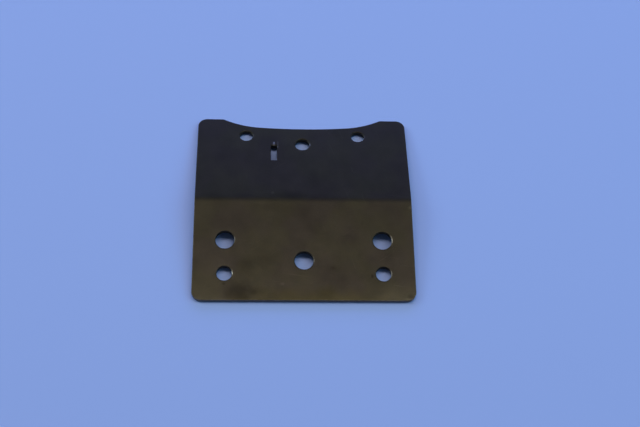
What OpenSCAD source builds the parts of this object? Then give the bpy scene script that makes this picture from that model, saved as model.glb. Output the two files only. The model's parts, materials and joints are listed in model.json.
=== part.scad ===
// Bent mounting plate: one piece of sheet steel, folded a few degrees across its middle,
// with eight fastener holes, one small slot and a wide scallop in its far edge.
//
// X runs along the bend, -Y points to the near half, +Y to the far half, and +Z is up.
// The origin lies on the surface that the plate stands on, under the middle of the bend.
// The plate stands on the lower corners of its two outer edges, with the bend uppermost.
// Distances "from the bend line" are measured along the sheet's upper face, from the line
// where the upper faces of the two halves would meet if the bend were sharp.

/* [Sheet] */
// Width of the plate, along the bend
plate_w = 70; // [66:1:100]
// Length of each half, from the bend line to its outer edge
half_l = 35; // [34:0.5:50]
// Thickness of the sheet
sheet_t = 1.5; // [0.8:0.1:3]

/* [Bend] */
// Angle that the sheet is bent through
bend_angle = 13; // [4:1:30]
// Radius on the inside of the bend
bend_r = 7; // [0.5:0.5:12]

/* [Corners and scallop] */
// Radius of the four outer corners
corner_r = 3; // [1:0.5:5]
// Depth of the scallop at its middle
scallop_depth = 4.2; // [3.5:0.1:5]
// Radius of the scallop's long middle arc
scallop_mid_r = 180; // [150:10:250]
// Half the width of the middle arc
scallop_mid_half = 14.5; // [12:0.5:16]
// Radius of the two end arcs, which rise to the far edge
scallop_end_r = 30; // [24:1:34]
// Radius that eases each end arc into the far edge
shoulder_r = 1.5; // [0.5:0.1:3]

/* [Near half holes] */
// Spacing of the two hole pairs
near_spacing = 50; // [44:0.5:54]
// Diameter of the large pair and of the middle hole, which clear an M5 screw with room to adjust
near_large_d = 6; // [5.5:0.1:7]
// Distance of the large pair from the bend line
near_large_from_bend = 14.5; // [8:0.5:16]
// Distance of the middle hole from the bend line
near_middle_from_bend = 21.5; // [10:0.5:28]
// Diameter of the small pair, a loose fit on an M4 screw
near_small_d = 4.8; // [4.5:0.1:6]
// Distance of the small pair from the bend line
near_small_from_bend = 26; // [24:0.5:28]

/* [Far half holes] */
// Spacing of the pair
far_spacing = 37.5; // [30:0.5:42]
// Diameter of the pair, a close fit on an M4 screw
far_pair_d = 4.3; // [4:0.1:5]
// Distance of the pair from the bend line
far_pair_from_bend = 27.5; // [20:0.5:28]
// Diameter of the middle hole, a loose fit on an M4 screw
far_middle_d = 4.8; // [4.5:0.1:6]
// Distance of the middle hole from the bend line
far_middle_from_bend = 23.75; // [12:0.25:25]

/* [Slot] */
// Width of the slot
slot_w = 2; // [1:0.1:4]
// Length of the slot, which runs away from the bend
slot_l = 6.4; // [4:0.1:10]
// Distance of the slot's middle from the plate's centre line
slot_x = -9.5; // [-13:0.5:-6]
// Distance of the slot's middle from the bend line
slot_from_bend = 20; // [10:0.5:22]

/* [Hidden] */
$fn = 96;
bend_fn = 240;
cut_past = 1; // how far each cutting shape runs past the face that it cuts
crossing = 0.002; // how far a tangent arc reaches into its neighbour, so that the two cross
steel_color = [0.17, 0.165, 0.155];

// Bend
half_tilt = bend_angle / 2;
outer_bend_r = bend_r + sheet_t;
bend_end = outer_bend_r * tan(half_tilt); // where a flat half starts, from the bend line
flat_l = half_l - bend_end;
bend_axis_z = flat_l * sin(half_tilt) - bend_r * cos(half_tilt);

// Scallop: each end arc is tangent to the middle arc where x = scallop_mid_half
mid_y = half_l - scallop_depth + scallop_mid_r;
mid_end_angle = asin(scallop_mid_half / scallop_mid_r);
end_x = (scallop_mid_r - scallop_end_r) * sin(mid_end_angle);
end_y = mid_y - (scallop_mid_r - scallop_end_r) * cos(mid_end_angle);

// Shoulder: its circle touches the far edge and, from outside, the end arc's circle
shoulder_y = half_l - shoulder_r;
shoulder_reach = scallop_end_r + shoulder_r;
shoulder_x = end_x + sqrt(pow(shoulder_reach, 2) - pow(end_y - shoulder_y, 2));
touch_x = end_x + (shoulder_x - end_x) * scallop_end_r / shoulder_reach;
touch_y = end_y + (shoulder_y - end_y) * scallop_end_r / shoulder_reach;

// A quarter of a disc, between +X and +Y
module quarter_disc(r) {
    intersection() {
        circle(r = r);
        square(2 * r);
    }
}

// One half as a flat outline, from the bend line along +Y to its outer edge
module half_blank() {
    straight_l = half_l - corner_r;
    translate([-plate_w / 2, 0])
        square([plate_w, straight_l]);
    translate([corner_r - plate_w / 2, 0])
        square([plate_w - 2 * corner_r, half_l]);
    for (side = [0, 1])
        mirror([side, 0])
            translate([plate_w / 2 - corner_r, straight_l])
                quarter_disc(corner_r);
}

// Two holes, one on each side of the centre line
module hole_pair(spacing, from_bend, d) {
    for (side = [-1, 1])
        translate([side * spacing / 2, from_bend])
            circle(d = d);
}

// The middle arc's circle, cut down to the width that it serves
module scallop_middle() {
    intersection() {
        translate([0, mid_y])
            circle(r = scallop_mid_r, $fn = 720);
        translate([-scallop_mid_half, half_l - scallop_depth - cut_past])
            square([2 * scallop_mid_half, scallop_depth + 2 * cut_past]);
    }
}

// One end arc, and the sharp corner that its shoulder radius takes away
module scallop_end() {
    translate([end_x, end_y])
        circle(r = scallop_end_r + crossing, $fn = 240);
    difference() {
        polygon([
            [touch_x, touch_y],
            [shoulder_x, half_l],
            [shoulder_x, half_l + cut_past],
            [touch_x, half_l + cut_past]
        ]);
        translate([shoulder_x, shoulder_y])
            circle(r = shoulder_r + crossing);
    }
}

module near_outline() {
    difference() {
        half_blank();
        hole_pair(near_spacing, near_large_from_bend, near_large_d);
        hole_pair(near_spacing, near_small_from_bend, near_small_d);
        translate([0, near_middle_from_bend])
            circle(d = near_large_d);
    }
}

module far_outline() {
    difference() {
        half_blank();
        hole_pair(far_spacing, far_pair_from_bend, far_pair_d);
        translate([0, far_middle_from_bend])
            circle(d = far_middle_d);
        translate([slot_x, slot_from_bend])
            square([slot_w, slot_l], center = true);
        scallop_middle();
        scallop_end();
        mirror([1, 0])
            scallop_end();
    }
}

// The flat part of a half: its outline past the bend, as sheet above the bend's axis
module as_sheet() {
    translate([0, -bend_end, bend_r])
        linear_extrude(height = sheet_t)
            intersection() {
                children();
                translate([-plate_w, bend_end])
                    square(2 * plate_w);
            }
}

// The curved strip between the two flat halves
module bend_strip() {
    rotate([0, -90, 0])
        rotate([0, 0, -half_tilt])
            rotate_extrude(angle = bend_angle, $fn = bend_fn)
                translate([bend_r, -plate_w / 2])
                    square([sheet_t, plate_w]);
}

module bent_plate() {
    color(steel_color)
        translate([0, 0, bend_axis_z])
            union() {
                bend_strip();
                rotate([-half_tilt, 0, 0])
                    as_sheet()
                        far_outline();
                mirror([0, 1, 0])
                    rotate([-half_tilt, 0, 0])
                        as_sheet()
                            near_outline();
            }
}

bent_plate();
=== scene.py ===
"""Looks of a bent sheet-steel mounting plate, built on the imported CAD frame.

The plate is one mesh. It is made flat, the way a press blanks it: a face filled with triangles, and
a cut edge swept round the outline, the eight holes and the slot. A formula then folds it. A point on
the flat sheet is (x, v, h): x along the bend, v across it, with the far half positive, and h the
height above the sheet's lower face. Lengths on the sheet are in millimetres, and the mesh in metres.
"""

import json
import math

import bpy
import numpy as np
from mathutils import Matrix, Vector
from mathutils.geometry import delaunay_2d_cdt


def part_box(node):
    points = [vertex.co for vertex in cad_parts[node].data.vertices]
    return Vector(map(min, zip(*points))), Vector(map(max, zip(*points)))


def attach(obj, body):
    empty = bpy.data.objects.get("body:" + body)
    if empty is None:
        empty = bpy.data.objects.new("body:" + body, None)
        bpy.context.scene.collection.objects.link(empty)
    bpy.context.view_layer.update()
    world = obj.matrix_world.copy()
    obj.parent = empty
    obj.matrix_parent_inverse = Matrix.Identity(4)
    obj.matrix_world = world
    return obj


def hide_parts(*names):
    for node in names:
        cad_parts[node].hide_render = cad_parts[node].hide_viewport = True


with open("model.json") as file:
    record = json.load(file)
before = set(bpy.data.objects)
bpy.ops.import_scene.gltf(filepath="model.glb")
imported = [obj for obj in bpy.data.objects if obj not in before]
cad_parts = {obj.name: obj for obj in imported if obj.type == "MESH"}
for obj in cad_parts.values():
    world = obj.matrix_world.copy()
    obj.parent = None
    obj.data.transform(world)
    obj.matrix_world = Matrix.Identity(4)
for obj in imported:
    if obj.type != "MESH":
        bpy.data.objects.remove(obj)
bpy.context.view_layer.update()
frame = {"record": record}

MM = 0.001
NODE = "bent_plate"

# The sheet, as part.scad has it where the record doesn't say
BEND_R = 7.0
CORNER_R = 3.0
SCALLOP_DEPTH = 4.2
SCALLOP_MID_R = 180.0
SCALLOP_MID_HALF = 14.5
SCALLOP_END_R = 30.0
SHOULDER_R = 1.5
SLOT_W = 2.0
SLOT_L = 6.4
SLOT_CORNER_R = 0.25  # part.scad leaves these corners sharp

# The cut edge, from the upper face down. A roll is the rolled-over rim's width and depth
OUTLINE_ROLL = (0.18, 0.11)
HOLE_ROLL = (0.34, 0.2)
SLOT_ROLL = (0.25, 0.15)
BURNISH_END = 0.72  # height where the smooth shear ends and the torn metal starts
TEAR = 0.05  # how far the torn metal steps back
LOWER_ROUND = 0.12  # rounding of the lower rim
SUPPORT = 0.7  # inset of the ring where the flat face starts

# Two small burrs at the slot's far end: distances from its middle line and from its far end
BURRS = [
    # right of the line, start, length, width, height, how bare they are worn
    (0.0, 0.05, 1.6, 0.62, 0.10, 0.27),
    (1.3, -1.1, 2.9, 0.35, 0.035, 0.18),
]
BURR_STEP = 0.15  # spacing of the points on a burr and on the slot's straight sides

# How bare the rolled rims are worn, and how much of the cut face shows bare steel
OUTLINE_WEAR = 0.14
HOLE_WEAR = {
    "near_large_left": 0.2,
    "near_large_right": 0.75,
    "near_middle": 0.2,
    "near_small_left": 0.5,
    "near_small_right": 0.42,
    "far_left": 0.1,
    "far_right": 0.1,
    "far_middle": 0.35,
}
OUTLINE_CUT, HOLE_CUT = 1.0, 0.04
WORN_SIDE = math.radians(3)  # the side of each hole where its rim is worn, from +X
WORN_SPREAD = 12  # the higher, the shorter the worn stretch

# How much lighter the finish is painted towards the near edge and its corners, and how far in that
# reaches: a painted reflection of the overhead light
PAINTED_SHEEN_EDGE = [(0.14, 4.0), (0.22, 1.3)]
PAINTED_SHEEN_CORNER = (0.22, 5.0, 6.0)  # the last is its reach along the edge

# Spacing of points
FACE_STEP = 1.1
EDGE_STEP = 0.55
ARC_STEP = math.radians(5)


# ---------------------------------------------------------------- facts from the frame

def sheet_facts():
    """The sheet's sizes in millimetres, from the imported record's mounts and the CAD node's box."""
    low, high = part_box(NODE)
    bores = [m for m in frame["record"]["mounts"] if m["kind"] == "bore"]
    tilt = math.atan2(abs(bores[0]["axis"][1]), bores[0]["axis"][2])
    thick = bores[0]["dims"]["length_mm"]
    outer_r = BEND_R + thick
    flat_l = (high.y / MM - outer_r * math.sin(tilt)) / math.cos(tilt)
    bend_end = outer_r * math.tan(tilt)
    return {
        "tilt": tilt,
        "thick": thick,
        "half_w": high.x / MM,
        "bend_end": bend_end,
        "half_l": flat_l + bend_end,
        "axis_z": high.z / MM - outer_r,
        "bores": bores,
    }


SHEET = sheet_facts()


def fold(x, v, h):
    """Points of the flat sheet, in millimetres, where the bend puts them, in metres."""
    tilt, end = SHEET["tilt"], SHEET["bend_end"]
    past = np.maximum(np.abs(v) - end, 0.0)
    turn = tilt * np.clip(v / end, -1.0, 1.0)
    side = np.sign(v)
    y = (BEND_R + h) * np.sin(turn) + side * past * math.cos(tilt)
    z = SHEET["axis_z"] + (BEND_R + h) * np.cos(turn) - past * math.sin(tilt)
    return np.stack([x, y, z], axis=1) * MM


def unfold(point):
    """Where a mount's point lies on the flat sheet: (x, v)."""
    x, y, z = (c / MM for c in point)
    tilt = SHEET["tilt"]
    along = abs(y) * math.cos(tilt) - (z - SHEET["axis_z"]) * math.sin(tilt)
    return x, math.copysign(along + SHEET["bend_end"], y)


# ---------------------------------------------------------------- outlines on the flat sheet
# An outline is a closed loop of points with, at each, the unit normal that points out of the metal.
# Every loop has the metal on its left: the plate's outline runs anticlockwise and a hole's clockwise.

def arc(centre, radius, start, end, hollow=False):
    """Points and normals along an arc. hollow: the metal is outside the arc's circle."""
    count = max(2, round(abs(end - start) / ARC_STEP))
    angle = np.linspace(start, end, count + 1)
    spoke = np.stack([np.cos(angle), np.sin(angle)], axis=1)
    return np.array(centre) + radius * spoke, -spoke if hollow else spoke


def line(start, end, step=EDGE_STEP):
    """Points and normals strictly between two points. The metal is on the left."""
    start, end = np.array(start, float), np.array(end, float)
    length = np.linalg.norm(end - start)
    count = max(2, round(length / step))
    share = np.linspace(0, 1, count + 1)[1:-1, None]
    along = (end - start) / length
    return start + share * (end - start), np.repeat([[along[1], -along[0]]], count - 1, axis=0)


def joined(stretches):
    """One loop from stretches of points and normals, without the points that two stretches share."""
    points = np.vstack([p for p, _ in stretches])
    normals = np.vstack([n for _, n in stretches])
    gap = np.linalg.norm(points - np.roll(points, 1, axis=0), axis=1)
    keep = gap > 1e-3
    return points[keep], normals[keep]


def circle_outline(centre, radius):
    """A round hole."""
    step = min(ARC_STEP, EDGE_STEP * 0.5 / radius)
    angle = np.linspace(2 * math.pi, 0, round(2 * math.pi / step), endpoint=False)
    spoke = np.stack([np.cos(angle), np.sin(angle)], axis=1)
    return np.array(centre) + radius * spoke, -spoke


def slot_outline(centre):
    """The narrow slot, with small rounds in its corners."""
    x, y = SLOT_W / 2 - SLOT_CORNER_R, SLOT_L / 2 - SLOT_CORNER_R
    corners = [(x, y, 90), (x, -y, 0), (-x, -y, -90), (-x, y, -180)]
    rounds = []
    for cx, cy, turn in corners:
        turn = math.radians(turn)
        place = np.array(centre) + (cx, cy)
        rounds.append(arc(place, SLOT_CORNER_R, turn, turn - math.pi / 2, hollow=True))
    stretches = []
    for here, after in zip(rounds, rounds[1:] + rounds[:1]):
        stretches += [here, line(here[0][-1], after[0][0], BURR_STEP)]
    return joined(stretches)


def scallop_right():
    """The far edge from the middle of the scallop to its right shoulder, with the metal on the left
    as it is walked from right to left: the shoulder, the end arc and half of the middle arc."""
    mid = np.array([0.0, SHEET["half_l"] - SCALLOP_DEPTH + SCALLOP_MID_R])
    lean = math.asin(SCALLOP_MID_HALF / SCALLOP_MID_R)
    end = mid + (SCALLOP_MID_R - SCALLOP_END_R) * np.array([math.sin(lean), -math.cos(lean)])
    reach = SCALLOP_END_R + SHOULDER_R
    shoulder_y = SHEET["half_l"] - SHOULDER_R
    shoulder = np.array([end[0] + math.sqrt(reach**2 - (end[1] - shoulder_y) ** 2), shoulder_y])
    touch = math.atan2(end[1] - shoulder_y, end[0] - shoulder[0])
    down = -math.pi / 2
    return shoulder[0], [
        arc(shoulder, SHOULDER_R, math.pi / 2, touch),
        fine_arc(end, SCALLOP_END_R, touch - math.pi, down + lean),
        fine_arc(mid, SCALLOP_MID_R, down + lean, down),
    ]


def fine_arc(centre, radius, start, end):
    """A hollow arc of large radius, with its points about EDGE_STEP apart."""
    count = max(2, round(abs(end - start) * radius / EDGE_STEP))
    angle = np.linspace(start, end, count + 1)
    spoke = np.stack([np.cos(angle), np.sin(angle)], axis=1)
    return np.array(centre) + radius * spoke, -spoke


def mirrored(stretches):
    """The same stretches reflected in the centre line, walked the other way."""
    flip = np.array([-1.0, 1.0])
    return [(p[::-1] * flip, n[::-1] * flip) for p, n in reversed(stretches)]


def plate_outline():
    """The blank's outline, anticlockwise from the lower left corner."""
    w, l, r = SHEET["half_w"], SHEET["half_l"], CORNER_R
    shoulder_x, right_scallop = scallop_right()
    quarter = math.pi / 2
    side = side_rows(l - r)
    right_side = np.stack([np.full(len(side), w), side], axis=1)
    right_normals = np.repeat([[1.0, 0.0]], len(side), axis=0)
    return joined([
        arc((r - w, r - l), r, -2 * quarter, -quarter),
        line((r - w, -l), (w - r, -l)),
        arc((w - r, r - l), r, -quarter, 0),
        (right_side, right_normals),
        arc((w - r, l - r), r, 0, quarter),
        line((w - r, l), (shoulder_x, l)),
        *right_scallop,
        *mirrored(right_scallop),
        line((-shoulder_x, l), (r - w, l)),
        arc((r - w, l - r), r, quarter, 2 * quarter),
        (right_side[::-1] * (-1, 1), -right_normals),
    ])


def bend_rows():
    """Values of v that the bend needs, so that it curves smoothly and the halves stay flat."""
    end = SHEET["bend_end"]
    return np.array([-2.2, -1.4, -1, -0.67, -0.33, 0, 0.33, 0.67, 1, 1.4, 2.2]) * end


def side_rows(reach):
    """Values of v along a straight side, from -reach to reach."""
    rows = bend_rows()
    count = round((reach - rows[-1]) / EDGE_STEP)
    far = np.linspace(rows[-1], reach, count + 1)[1:-1]
    return np.concatenate([-far[::-1], rows, far])


# ---------------------------------------------------------------- the cut edge

def edge_profile(roll_w, roll_d):
    """The cut edge as (inset from the outline, height) pairs from the upper face to the lower."""
    thick = SHEET["thick"]
    roll = [
        (roll_w * (1 - math.sin(a)), thick - roll_d * (1 - math.cos(a)))
        for a in np.linspace(0, math.pi / 2, 9)
    ]
    burnish = [(0.0, thick * 0.7), (0.0, BURNISH_END + 0.04)]
    torn = [(TEAR * 0.45, BURNISH_END - 0.05), (TEAR * 0.7, BURNISH_END / 2), (TEAR, LOWER_ROUND)]
    lower = [
        (TEAR + LOWER_ROUND * (1 - math.cos(a)), LOWER_ROUND * (1 - math.sin(a)))
        for a in np.linspace(0, math.pi / 2, 5)[1:]
    ]
    return [(SUPPORT, thick), *roll, *burnish, *torn, *lower, (SUPPORT, 0.0)]


# ---------------------------------------------------------------- filling the faces

def inside(points, loop):
    """Which points lie inside a closed loop, by counting crossings."""
    a, b = loop, np.roll(loop, -1, axis=0)
    result = np.zeros(len(points), bool)
    for (ax, ay), (bx, by) in zip(a, b):
        if ay == by:
            continue
        spans = (points[:, 1] < ay) != (points[:, 1] < by)
        cross = ax + (points[:, 1] - ay) * (bx - ax) / (by - ay)
        result ^= spans & (points[:, 0] < cross)
    return result


def in_metal(points, loops):
    """Inside the outer loop and outside every hole."""
    keep = inside(points, loops[0])
    for hole in loops[1:]:
        keep &= ~inside(points, hole)
    return keep


def clear_of(points, others, gap):
    """Which points are at least gap from all the others."""
    keep = np.ones(len(points), bool)
    for i in range(0, len(points), 500):
        block = points[i : i + 500]
        away = np.linalg.norm(block[:, None] - others[None], axis=2)
        keep[i : i + 500] = away.min(axis=1) >= gap
    return keep


def burr_points(slot):
    """A fine grid over each burr."""
    patches = []
    for right, start, length, width, _, _ in BURRS:
        x = np.arange(right - width, right + width + BURR_STEP, BURR_STEP)
        v = np.arange(start - BURR_STEP, start + length + 2 * BURR_STEP, BURR_STEP)
        patches.append(np.stack(np.meshgrid(x, v), axis=-1).reshape(-1, 2) + slot + (0, SLOT_L / 2))
    first, second = patches
    second = second[clear_of(second, first, BURR_STEP * 0.8)]
    return np.vstack([first, second])


def burr_shape(x, v, slot):
    """How high the burrs stand above the face at each point, and how bare they are worn there."""
    height, wear = np.zeros(len(x)), np.zeros(len(x))
    for right, start, length, width, high, bare in BURRS:
        across = np.abs(x - slot[0] - right) / (width / 2)
        along = np.abs(v - slot[1] - SLOT_L / 2 - start - length / 2) / (length / 2)
        swell = np.clip(1 - across**2, 0, 1) * np.clip(1 - along**4, 0, 1)
        height = np.maximum(height, high * swell)
        wear = np.maximum(wear, bare * np.sqrt(swell))
    return height, wear


def face_points(loops, fine):
    """Points inside the face: the fine ones, rows along the bend and an even grid elsewhere."""
    w, l = SHEET["half_w"], SHEET["half_l"]
    rows = bend_rows()
    count = round((l - rows[-1]) / FACE_STEP)
    far = np.linspace(rows[-1], l, count + 1)[1:-1]
    rows = np.concatenate([-far[::-1], rows, far])
    columns = np.linspace(-w, w, round(2 * w / FACE_STEP) + 1)[1:-1]
    grid = np.stack(np.meshgrid(columns, rows), axis=-1).reshape(-1, 2)
    grid = grid[in_metal(grid, loops)]
    grid = grid[clear_of(grid, np.vstack([*loops, fine]), EDGE_STEP * 0.75)]
    fine = fine[in_metal(fine, loops)]
    fine = fine[clear_of(fine, np.vstack(loops), BURR_STEP * 0.6)]
    return np.vstack([grid, fine])


def fill(loops, loose):
    """Triangles between the loops, through the loose points. Indices run over loops, then loose."""
    points = np.vstack([*loops, loose])
    edges, start = [], 0
    for loop in loops:
        n = len(loop)
        edges += [(start + i, start + (i + 1) % n) for i in range(n)]
        start += n
    made = delaunay_2d_cdt([Vector(p) for p in points.tolist()], edges, [], 0, 1e-6)
    corner, triangles, origin = np.array([list(p) for p in made[0]]), made[2], made[3]
    source = np.array([o[0] if o else -1 for o in origin])
    triangles = np.array([t for t in triangles if len(t) == 3])
    centres = corner[triangles].mean(axis=1)
    triangles = source[triangles[in_metal(centres, loops)]]
    a, b, c = (points[triangles[:, i]] for i in range(3))
    turn = (b - a)[:, 0] * (c - a)[:, 1] - (b - a)[:, 1] * (c - a)[:, 0]
    triangles[turn < 0] = triangles[turn < 0][:, ::-1]
    return triangles


# ---------------------------------------------------------------- the plate
# Four values go with each point of the mesh, for the material: rim, how bare the rolled rim or burr
# is worn; cut, how much bare steel the cut face shows; torn, 1 where the cut face is torn; and the
# fourth, how much lighter the finish is painted near the near edge and its corners: a painted reflection
# of the overhead light.

# The first three, for each ring of edge_profile: its ring 0 is on the upper face, and the rolled rim,
# the shear, the torn band and the lower rim follow
RING_VALUES = np.zeros((20, 3))
RING_VALUES[[2, 9], 0] = 0.5
RING_VALUES[3:9, 0] = 1.0
RING_VALUES[9:19, 1] = 1.0
RING_VALUES[12:16, 2] = 1.0


def painted_sheen(x, v):
    """How much lighter the finish is painted: most at the near edge and its corners. A painted
    reflection of the overhead light.
    """
    from_edge = v + SHEET["half_l"]
    from_side = SHEET["half_w"] - np.abs(x)
    amount, reach, reach_along = PAINTED_SHEEN_CORNER
    sheen_paint = amount * np.exp(-from_edge / reach - from_side / reach_along)
    for amount, reach in PAINTED_SHEEN_EDGE:
        sheen_paint += amount * np.exp(-from_edge / reach)
    return sheen_paint


def worn_on_one_side(normals, worn):
    """How bare a hole's rim is at each of its points."""
    facing = -normals @ (math.cos(WORN_SIDE), math.sin(WORN_SIDE))
    return worn * np.clip(facing, 0, 1) ** WORN_SPREAD


def swept_edge(points, normals, roll, worn, cut, slot):
    """Points and values of every ring of one outline's cut edge."""
    flat, values = [], []
    for (inset, height), (rim, steel, torn) in zip(edge_profile(*roll), RING_VALUES):
        x, v = (points - normals * inset).T
        lift, bare = burr_shape(x, v, slot)
        on_top = height > SHEET["thick"] - roll[1]
        flat.append(np.column_stack([x, v, height + lift * on_top]))
        same = np.ones(len(x))
        rims = np.maximum(worn * rim, bare * on_top)
        values.append(np.column_stack([rims, same * cut * steel, same * torn, painted_sheen(x, v)]))
    return np.vstack(flat), np.vstack(values)


def plate_faces(outlines, starts, rings, loose_count, loose_start, triangles):
    """The upper and lower faces' triangles, and the cut edges' quads."""
    sizes = [len(points) for points, _ in outlines]
    first = np.concatenate([s + np.arange(n) for s, n in zip(starts, sizes)])
    last = np.concatenate([s + (rings - 1) * n + np.arange(n) for s, n in zip(starts, sizes)])
    upper = np.concatenate([first, loose_start + np.arange(loose_count)])
    lower = np.concatenate([last, loose_start + loose_count + np.arange(loose_count)])
    faces = upper[triangles].tolist() + lower[triangles[:, ::-1]].tolist()
    for start, n in zip(starts, sizes):
        for a in range(start, start + (rings - 1) * n, n):
            b = a + n
            faces += [(a + i, b + i, b + (i + 1) % n, a + (i + 1) % n) for i in range(n)]
    return faces


def build_plate():
    mounts = frame["record"]["mounts"]
    slot = unfold(next(m for m in mounts if m["name"] == "tab_slot")["pos_m"])
    outer, slot_edge = plate_outline(), slot_outline(slot)
    holes = [circle_outline(unfold(m["pos_m"]), m["dims"]["r_mm"]) for m in SHEET["bores"]]
    outlines = [outer, *holes, slot_edge]
    support = [points - normals * SUPPORT for points, normals in outlines]
    loose = face_points(support, burr_points(slot))

    swept = [swept_edge(*outer, OUTLINE_ROLL, OUTLINE_WEAR, OUTLINE_CUT, slot)]
    for mount, (points, normals) in zip(SHEET["bores"], holes):
        worn = worn_on_one_side(normals, HOLE_WEAR[mount["name"]])
        swept.append(swept_edge(points, normals, HOLE_ROLL, worn, HOLE_CUT, slot))
    swept.append(swept_edge(*slot_edge, SLOT_ROLL, 0.0, HOLE_CUT, slot))
    starts = np.cumsum([0] + [len(flat) for flat, _ in swept]).tolist()

    lift, bare = burr_shape(*loose.T, slot)
    none, sheen_paint = np.zeros(len(loose)), painted_sheen(*loose.T)
    upper = np.column_stack([loose, SHEET["thick"] + lift])
    lower = np.column_stack([loose, none])
    flat = np.vstack([*(flat for flat, _ in swept), upper, lower])
    values = np.vstack([
        *(values for _, values in swept),
        np.column_stack([bare, none, none, sheen_paint]),
        np.column_stack([none, none, none, sheen_paint]),
    ])

    rings = len(RING_VALUES)
    triangles = fill(support, loose)
    faces = plate_faces(outlines, starts[:-1], rings, len(loose), starts[-1], triangles)
    mesh = bpy.data.meshes.new("plate")
    mesh.from_pydata(fold(*flat.T).tolist(), [], faces)
    for name, column in zip(("rim", "cut", "torn", "painted_sheen"), values.T):
        mesh.attributes.new(name, "FLOAT", "POINT").data.foreach_set("value", column.astype(np.float32))
    mesh.shade_smooth()
    plate = bpy.data.objects.new("plate", mesh)
    bpy.context.scene.collection.objects.link(plate)
    return plate


plate = build_plate()


# ---------------------------------------------------------------- material

class Shader:
    """A material, with short calls that add nodes. An input is a value or another node's output."""

    def __init__(self, name):
        self.material = bpy.data.materials.new(name)
        self.material.use_nodes = True
        self.tree = self.material.node_tree
        self.surface = self.tree.nodes["Principled BSDF"]

    def feed(self, socket, value):
        if isinstance(value, bpy.types.NodeSocket):
            self.tree.links.new(value, socket)
        else:
            socket.default_value = value

    def node(self, kind, inputs=(), **settings):
        made = self.tree.nodes.new(kind)
        for name, value in settings.items():
            setattr(made, name, value)
        for key, value in dict(inputs).items():
            self.feed(made.inputs[key], value)
        return made

    def math(self, operation, a, b):
        return self.node("ShaderNodeMath", {0: a, 1: b}, operation=operation).outputs[0]

    def noise(self, place, scale, seed, detail=2.0):
        """Smooth noise, about 0.5 on average. The scale is per millimetre."""
        inputs = {"Vector": place, "W": seed, "Scale": scale, "Detail": detail}
        return self.node("ShaderNodeTexNoise", inputs, noise_dimensions="4D").outputs["Fac"]

    def spread(self, value, low, high, to_low=0.0, to_high=1.0):
        """A value between low and high, eased onto to_low to to_high."""
        inputs = {"Value": value, "From Min": low, "From Max": high, "To Min": to_low, "To Max": to_high}
        return self.node("ShaderNodeMapRange", inputs, interpolation_type="SMOOTHSTEP").outputs["Result"]

    def stretched(self, place, factors, turn=0.0):
        """The place, turned about Z by degrees and then scaled along each axis."""
        rotation = (0, 0, math.radians(turn))
        turned = self.node("ShaderNodeMapping", {"Vector": place, "Rotation": rotation}).outputs[0]
        scaled = self.node("ShaderNodeVectorMath", {0: turned, 1: factors}, operation="MULTIPLY")
        return scaled.outputs[0]

    def blend(self, share, a, b):
        """Colour a where share is 0, and colour b where it is 1."""
        mixed = self.node("ShaderNodeMix", data_type="RGBA")
        for socket, value in zip((mixed.inputs[0], mixed.inputs[6], mixed.inputs[7]), (share, a, b)):
            self.feed(socket, value)
        return mixed.outputs[2]

    def dim(self, color, factor):
        """A colour times a number."""
        inputs = {0: color, "Scale": factor}
        return self.node("ShaderNodeVectorMath", inputs, operation="SCALE").outputs[0]

    def attribute(self, name):
        return self.node("ShaderNodeAttribute", attribute_name=name).outputs["Fac"]


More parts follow.
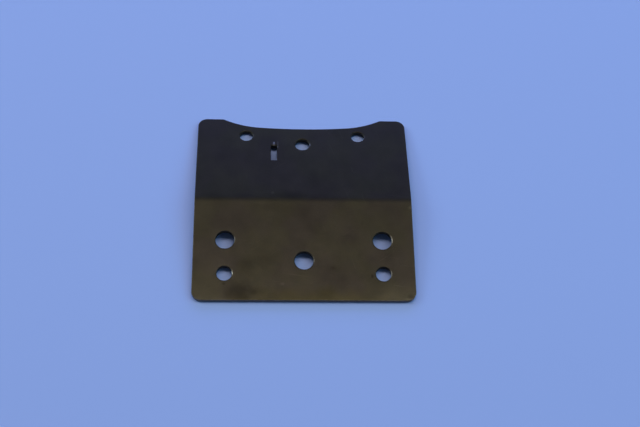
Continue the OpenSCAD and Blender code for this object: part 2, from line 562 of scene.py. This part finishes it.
OXIDE = (0.0285, 0.0265, 0.0195, 1)  # the dark finish, where it leans to olive
OXIDE_BROWN = (0.0270, 0.0240, 0.0205, 1)  # and where it leans to brown
PAINTED_WARM_SHEEN = (0.0288, 0.0257, 0.0158, 1)  # and a warmer tint painted along the near edge, standing in for the warm overhead light's reflection
BARE = (0.50, 0.50, 0.49, 1)  # steel worn bright
FACE_ROUGH, ROUGH_RANGE = 0.45, 0.03
WORN_SMOOTHER, TORN_ROUGHER = 0.18, 0.25
CUT_STEEL = (0.17, 0.13, 0.125, 1)  # the sheared edge under a thin finish
PAINTED_WARM_SHEEN_PATCH = (3.0, -35.0, 26.0, 4.5)  # x, v, half width and half length of the stretch with the painted warm reflection
MARKS_AND_PAINTED_LIGHT = [
    # x and v on the flat sheet, half width, half length and strength: darker handling marks, and
    # with a negative strength lighter ones. Three are painted light instead: a painted shade line along
    # the bend and two painted highlights.
    (-20.6, -31.8, 4.6, 4.2, 0.38),
    (-15.5, -31.8, 3.2, 2.4, 0.16),
    # Painted shade: a dark line along the far side of the bend
    (-8.0, 1.3, 24.0, 1.0, 0.12),
    (-18.9, -23.0, 3.4, 3.0, 0.20),
    (-12.0, -21.5, 3.6, 2.6, 0.12),
    (3.2, -8.6, 3.8, 3.6, 0.14),
    (-1.5, -4.6, 5.0, 2.2, 0.14),
    (-4.4, 1.9, 6.0, 1.8, 0.16),
    (3.5, 8.0, 1.8, 4.6, 0.13),
    (-29.3, 1.2, 3.6, 1.6, 0.14),
    (9.3, -24.2, 4.6, 1.8, 0.13),
    (6.6, -32.6, 3.8, 2.0, 0.13),
    (11.2, -28.4, 3.4, 2.8, 0.14),
    (15.3, -14.3, 3.6, 3.2, 0.12),
    (27.0, -18.3, 3.4, 3.0, 0.10),
    (-28.0, 18.0, 2.6, 2.4, 0.10),
    (30.0, -31.5, 6.0, 4.0, -0.17),
    (-27.0, -24.0, 7.0, 9.0, -0.08),
    (-26.5, -21.0, 7.0, 4.0, -0.08),
    (5.8, -23.4, 4.2, 2.8, -0.08),
    (9.0, -31.5, 2.6, 2.6, -0.07),
    (6.6, -17.2, 4.0, 3.4, -0.07),
    (-4.4, -23.6, 3.0, 3.2, -0.10),
    (-9.0, -3.0, 9.0, 1.8, 0.08),
    (-25.1, -29.3, 0.6, 0.5, 0.40),
    (-6.8, -29.3, 0.8, 0.6, -0.32),
    (-15.6, -32.1, 1.0, 1.0, 0.16),
    (-14.8, -33.5, 3.2, 1.0, -0.14),
    (24.9, -33.4, 3.4, 1.4, -0.16),
    (21.4, -26.5, 0.5, 0.8, 0.45),
    (9.2, -23.9, 1.0, 0.7, 0.20),
    (33.2, -33.3, 1.3, 0.9, 0.30),
    # Painted highlight: the rolled rim's glint at the near right corner
    (32.2, -34.2, 1.5, 0.4, -0.35),
    # Painted highlight: the rim's glint on the right edge just below the bend
    (34.5, -2.7, 0.7, 0.6, -0.60),
    (-9.9, 2.7, 0.6, 0.6, -0.42),
]
SCRATCHES = [(8, 2.2), (-35, 4.4), (72, 6.6)]  # direction in degrees from the bend, and a seed

# Relief of the surface, in millimetres
GRAIN_RELIEF = 0.006
SHEAR_RELIEF = 0.03
SCRATCH_RELIEF = 0.004
WAVE_RELIEF = 0.05


def ragged(shader, place, warp, oval, middle, outside):
    """A value that changes from the middle of an oval of ragged outline to the outside."""
    x, v, half_w, half_l = oval
    moved = shader.node("ShaderNodeVectorMath", {0: place, 1: (-x, -v, 0)}, operation="ADD")
    near = shader.stretched(moved.outputs[0], (1 / half_w, 1 / half_l, 0))
    away = shader.node("ShaderNodeVectorMath", {0: near}, operation="LENGTH").outputs["Value"]
    away = shader.math("ADD", away, shader.math("MULTIPLY", warp, 1.2))
    return shader.spread(away, 0.85, 1.95, middle, outside)


def face_color(shader, place):
    """The dark finish: cloudy, with darker and lighter marks of ragged outline, among them a painted
    shade line along the bend and two painted highlights, and a painted warm reflection along the near
    edge.
    """
    warp = shader.noise(place, 0.22, 3.1, 3.0)
    brown = shader.spread(shader.noise(place, 0.085, 1.7), 0.38, 0.62)
    color = shader.blend(brown, OXIDE, OXIDE_BROWN)
    # A painted warm reflection of the overhead light along the near edge
    color = shader.blend(ragged(shader, place, warp, PAINTED_WARM_SHEEN_PATCH, 1.0, 0.0), color, PAINTED_WARM_SHEEN)
    cloud = shader.spread(shader.noise(place, 0.16, 5.3, 4.0), 0.3, 0.7, 0.92, 1.08)
    grain = shader.spread(shader.noise(place, 2.6, 8.9, 3.0), 0.25, 0.75, 0.94, 1.06)
    shade = shader.math("MULTIPLY", cloud, grain)
    # Marks of the table; three of them are painted light
    for *oval, strength in MARKS_AND_PAINTED_LIGHT:
        mark_and_painted_light = ragged(shader, place, warp, oval, 1 - strength, 1.0)
        shade = shader.math("MULTIPLY", shade, mark_and_painted_light)
    return shader.dim(color, shade)


def scratches(shader, place):
    """Fine straight marks in a few directions, 1 on a mark and 0 elsewhere."""
    marks = 0.0
    for turn, seed in SCRATCHES:
        lines = shader.noise(shader.stretched(place, (0.05, 3.2, 0.3), turn), 1.0, seed, 1.0)
        lines = shader.spread(lines, 0.715, 0.745)
        kept = shader.spread(shader.noise(place, 0.12, seed + 1.0), 0.5, 0.6)
        marks = shader.math("MAXIMUM", marks, shader.math("MULTIPLY", lines, kept))
    return marks


def steel_material():
    shader = Shader("black_steel")
    texture = shader.node("ShaderNodeTexCoord")
    place = shader.stretched(texture.outputs["Object"], (1000, 1000, 1000))
    rim, cut, torn, sheen_paint = (shader.attribute(name) for name in ("rim", "cut", "torn", "painted_sheen"))

    marks = scratches(shader, place)
    color = shader.dim(face_color(shader, place), shader.spread(marks, 0, 1, 1.0, 1.35))
    # Painted reflection: lighter towards the near edge and its corners, where the overhead light's
    # reflection falls
    color = shader.dim(color, shader.math("ADD", sheen_paint, 1.0))
    color = shader.blend(cut, color, CUT_STEEL)
    flaking = shader.spread(shader.noise(place, 1.1, 12.5, 3.0), 0.38, 0.58, 0.25, 1.0)
    bare = shader.math("MULTIPLY", rim, flaking)
    color = shader.blend(bare, color, BARE)
    shader.feed(shader.surface.inputs["Base Color"], color)

    uneven = shader.noise(place, 0.5, 20.5, 4.0)
    rough = shader.spread(uneven, 0.3, 0.7, FACE_ROUGH - ROUGH_RANGE, FACE_ROUGH + ROUGH_RANGE)
    rough = shader.math("SUBTRACT", rough, shader.math("MULTIPLY", bare, WORN_SMOOTHER))
    rough = shader.math("ADD", rough, shader.math("MULTIPLY", torn, TORN_ROUGHER))
    shader.feed(shader.surface.inputs["Roughness"], rough)
    shader.surface.inputs["Metallic"].default_value = 1.0

    relief = shader.math("MULTIPLY", shader.noise(place, 4.5, 30.5, 4.0), GRAIN_RELIEF)
    shear = shader.noise(shader.stretched(place, (7, 7, 0.5)), 1.0, 33.5, 2.0)
    shear = shader.math("MULTIPLY", shader.math("MULTIPLY", shear, cut), SHEAR_RELIEF)
    relief = shader.math("ADD", relief, shear)
    relief = shader.math("SUBTRACT", relief, shader.math("MULTIPLY", marks, SCRATCH_RELIEF))
    wave = shader.math("MULTIPLY", shader.noise(place, 0.05, 40.5, 1.0), WAVE_RELIEF)
    relief = shader.math("ADD", relief, wave)
    bump = shader.node("ShaderNodeBump", {"Height": relief, "Distance": MM})
    shader.feed(shader.surface.inputs["Normal"], bump.outputs["Normal"])
    return shader.material


plate.data.materials.append(steel_material())
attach(plate, "root")
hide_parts(NODE)


# ---------------------------------------------------------------- floor, lights, camera

FLOOR_COLOR = (0.27, 0.375, 0.774, 1)
FLOOR_REACH = 3.0
LIGHTS = [
    # name, azimuth, elevation, distance, size, radiance, color
    ("key", 175, 84, 1.0, (1.4, 0.25), 5.83, (1.0, 0.861, 0.693)),
    ("left", -112, 32, 1.2, (0.45, 0.45), 5.7, (0.80, 1.0, 0.954)),
    ("right", 90, 40, 1.2, (0.9, 0.7), 2.07, (0.41, 0.90, 1.0)),
    ("rear", 180, 20, 1.2, (1.6, 0.5), 4.03, (0.341, 0.433, 1.0)),
]
WORLD = (0.115, 0.138, 0.141)
CAMERA_AZIMUTH, CAMERA_ELEVATION, CAMERA_ROLL = -5.473, 57.574, 5.089
CAMERA_DISTANCE = 0.3808
CAMERA_AIM = (0.00556, -0.00194, 0.0)
LENS, SENSOR_WIDTH = 65.74, 36.0


def make_floor():
    mesh = bpy.data.meshes.new("floor")
    reach = FLOOR_REACH
    corners = [(-reach, -reach, 0), (reach, -reach, 0), (reach, reach, 0), (-reach, reach, 0)]
    mesh.from_pydata(corners, [], [(0, 1, 2, 3)])
    floor = bpy.data.objects.new("floor", mesh)
    bpy.context.scene.collection.objects.link(floor)
    mat = bpy.data.materials.new("floor")
    mat.use_nodes = True
    bsdf = mat.node_tree.nodes["Principled BSDF"]
    bsdf.inputs["Base Color"].default_value = FLOOR_COLOR
    bsdf.inputs["Roughness"].default_value = 0.9
    bsdf.inputs["Specular IOR Level"].default_value = 0.1
    mesh.materials.append(mat)


def back_vector(azimuth, elevation):
    """Unit vector from the object towards a place at that azimuth and elevation, in degrees."""
    a, e = math.radians(azimuth), math.radians(elevation)
    return Vector((math.sin(a) * math.cos(e), -math.cos(a) * math.cos(e), math.sin(e)))


def area_light(name, azimuth, elevation, distance, size, radiance, color):
    """A soft rectangular light that faces the plate."""
    light = bpy.data.lights.new(name, "AREA")
    light.shape = "RECTANGLE"
    light.size, light.size_y = size
    light.energy = radiance * math.pi * size[0] * size[1]
    light.color = color
    lamp = bpy.data.objects.new(name, light)
    bpy.context.scene.collection.objects.link(lamp)
    back = back_vector(azimuth, elevation)
    lamp.location = back * distance
    lamp.rotation_mode = "QUATERNION"
    lamp.rotation_quaternion = (-back).to_track_quat("-Z", "Y")


def make_camera():
    camera = bpy.data.objects.new("camera", bpy.data.cameras.new("camera"))
    bpy.context.scene.collection.objects.link(camera)
    camera.data.lens = LENS
    camera.data.sensor_width = SENSOR_WIDTH
    camera.data.clip_start, camera.data.clip_end = 0.01, 20.0
    back = back_vector(CAMERA_AZIMUTH, CAMERA_ELEVATION)
    camera.location = Vector(CAMERA_AIM) + back * CAMERA_DISTANCE
    camera.rotation_mode = "QUATERNION"
    turn = (-back).to_track_quat("-Z", "Y")
    roll = Matrix.Rotation(math.radians(CAMERA_ROLL), 3, "Z").to_quaternion()
    camera.rotation_quaternion = turn @ roll
    bpy.context.scene.camera = camera


def make_world():
    world = bpy.data.worlds.new("studio")
    world.use_nodes = True
    world.node_tree.nodes["Background"].inputs["Color"].default_value = (*WORLD, 1)
    bpy.context.scene.world = world


make_floor()
for light in LIGHTS:
    area_light(*light)
make_camera()
make_world()
bpy.context.scene.view_settings.view_transform = "Standard"
